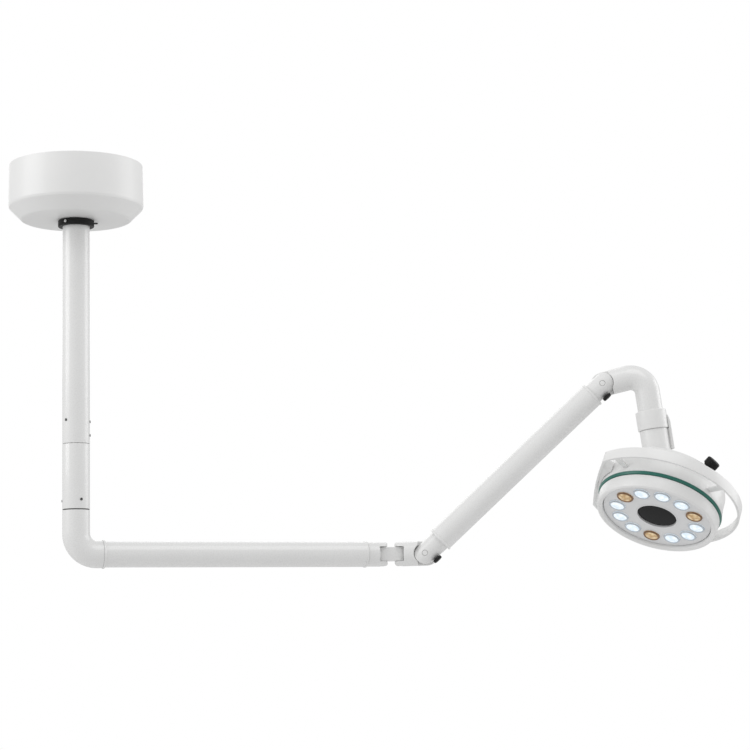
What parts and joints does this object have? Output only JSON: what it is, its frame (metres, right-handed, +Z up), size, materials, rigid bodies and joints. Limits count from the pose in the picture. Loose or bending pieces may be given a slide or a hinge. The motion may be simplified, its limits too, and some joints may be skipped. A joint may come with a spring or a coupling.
{
  "type": "dental operating light",
  "caption": "Ceiling-hung examination light: round canopy, vertical column, horizontal arm, spring-balanced folding arm and a tilting round lamp head with a grip ring.",
  "frame": {"origin": "centre of the ceiling plate's top face, on the column's axis", "axes": "+Z up into the ceiling, +X along the horizontal arm at rest"},
  "size_m": [1.0524, 0.4041, 0.5955],
  "materials": {
    "white_paint": "gloss white powder coat",
    "white_plastic": "gloss white moulding",
    "pearl_plate": "satin pearl grey",
    "black_plastic": "satin black",
    "black_gloss": "gloss black",
    "teal": "satin dark green",
    "steel": "satin steel",
    "dark_steel": "blackened steel",
    "aluminium": "satin",
    "board": "white solder mask",
    "clear_lens": "clear moulded lens over white",
    "amber_lens": "clear moulded lens over amber"
  },
  "bodies": {
    "ceiling_mount": {"ceiling_plate": "steel", "ceiling_socket": "steel", "driver_box": "aluminium", "canopy_cover": "white_paint", "canopy_clamp_ring": "black_plastic", "clamp_ring_screw": "steel", "clamp_ring_set_screw": "dark_steel", "column_tube": "white_paint", "column_joint_sleeve": "white_paint", "column_screw_1": "dark_steel", "column_screw_2": "dark_steel", "column_screw_3": "dark_steel", "column_screw_4": "dark_steel", "column_screw_5": "dark_steel"},
    "arm": {"swivel_washer": "dark_steel", "arm_elbow": "white_paint", "swivel_shaft": "steel", "horizontal_tube": "white_paint", "arm_fork": "white_paint"},
    "link": {"link_block": "white_paint", "fork_pin": "steel"},
    "knuckle": {"knuckle_body": "white_paint", "knuckle_pin": "steel", "lower_pivot_pin": "steel"},
    "balance_arm": {"lower_hinge_end": "white_paint", "balance_tube": "white_paint", "balance_spring": "steel", "spring_rod": "dark_steel", "upper_hinge_end": "white_paint"},
    "lower_tension_knob": {"tension_knob_lower": "black_plastic"},
    "upper_tension_knob": {"tension_knob_upper": "black_plastic"},
    "elbow": {"head_elbow": "white_paint", "upper_pivot_pin": "steel", "neck_collar": "white_plastic", "neck_spindle": "steel"},
    "swivel": {"swivel_tube": "white_plastic", "hinge_cover": "white_plastic"},
    "head": {"tilt_pin": "steel", "hinge_boss": "white_plastic", "rear_housing": "white_plastic", "accent_ring": "teal", "front_bezel": "white_plastic", "face_plate": "pearl_plate", "centre_window": "black_gloss", "led_board": "board", "heat_sink": "aluminium", "handle_ring": "white_plastic", "lens_01": "clear_lens", "lens_02": "clear_lens", "lens_03": "amber_lens", "lens_04": "clear_lens", "lens_05": "clear_lens", "lens_06": "clear_lens", "lens_07": "amber_lens", "lens_08": "clear_lens", "lens_09": "clear_lens", "lens_10": "clear_lens", "lens_11": "amber_lens", "lens_12": "clear_lens"},
    "dimmer": {"dimmer_knob": "black_plastic"}
  },
  "joints": [
    {"name": "arm_swivel", "type": "hinge", "parent": "ceiling_mount", "child": "arm", "pos_m": [0, 0, -0.51], "axis": [0, 0, 1], "range_deg": [-170, 170]},
    {"name": "link_swing", "type": "hinge", "parent": "arm", "child": "link", "pos_m": [0.466, 0, -0.5745], "axis": [0, 0, 1], "range_deg": [-42, 68]},
    {"name": "knuckle_swing", "type": "hinge", "parent": "link", "child": "knuckle", "pos_m": [0.49036, -0.00562, -0.5745], "axis": [0, 0, 1], "range_deg": [-42, 67]},
    {"name": "arm_lift", "type": "hinge", "parent": "knuckle", "child": "balance_arm", "pos_m": [0.52737, -0.02327, -0.5745], "axis": [0.4305, 0.9026, 0], "range_deg": [-5, 76]},
    {"name": "lower_tension_turn", "type": "hinge", "parent": "balance_arm", "child": "lower_tension_knob", "pos_m": [0.53865, -0.03752, -0.58212], "axis": [-0.6051, 0.2886, 0.742], "range_deg": [-180, 180]},
    {"name": "upper_tension_turn", "type": "hinge", "parent": "balance_arm", "child": "upper_tension_knob", "pos_m": [0.77466, -0.15009, -0.34587], "axis": [-0.6051, 0.2886, 0.742], "range_deg": [-180, 180]},
    {"name": "head_elbow_pitch", "type": "hinge", "parent": "balance_arm", "child": "elbow", "pos_m": [0.77422, -0.14102, -0.32738], "axis": [0.4305, 0.9026, 0], "range_deg": [-85, 15]},
    {"name": "neck_swivel", "type": "hinge", "parent": "elbow", "child": "swivel", "pos_m": [0.84824, -0.17633, -0.46856], "axis": [-0.11, 0.0525, 0.9925], "range_deg": [-150, 150]},
    {"name": "head_tilt", "type": "hinge", "parent": "swivel", "child": "head", "pos_m": [0.84824, -0.17633, -0.46856], "axis": [-0.4, 0.9118, -0.0925], "range_deg": [-60, 15]},
    {"name": "dimmer_turn", "type": "hinge", "parent": "head", "child": "dimmer", "pos_m": [0.88646, -0.25747, -0.46292], "axis": [0.5517, -0.4621, 0.6944], "range_deg": [-135, 135]}
  ]
}
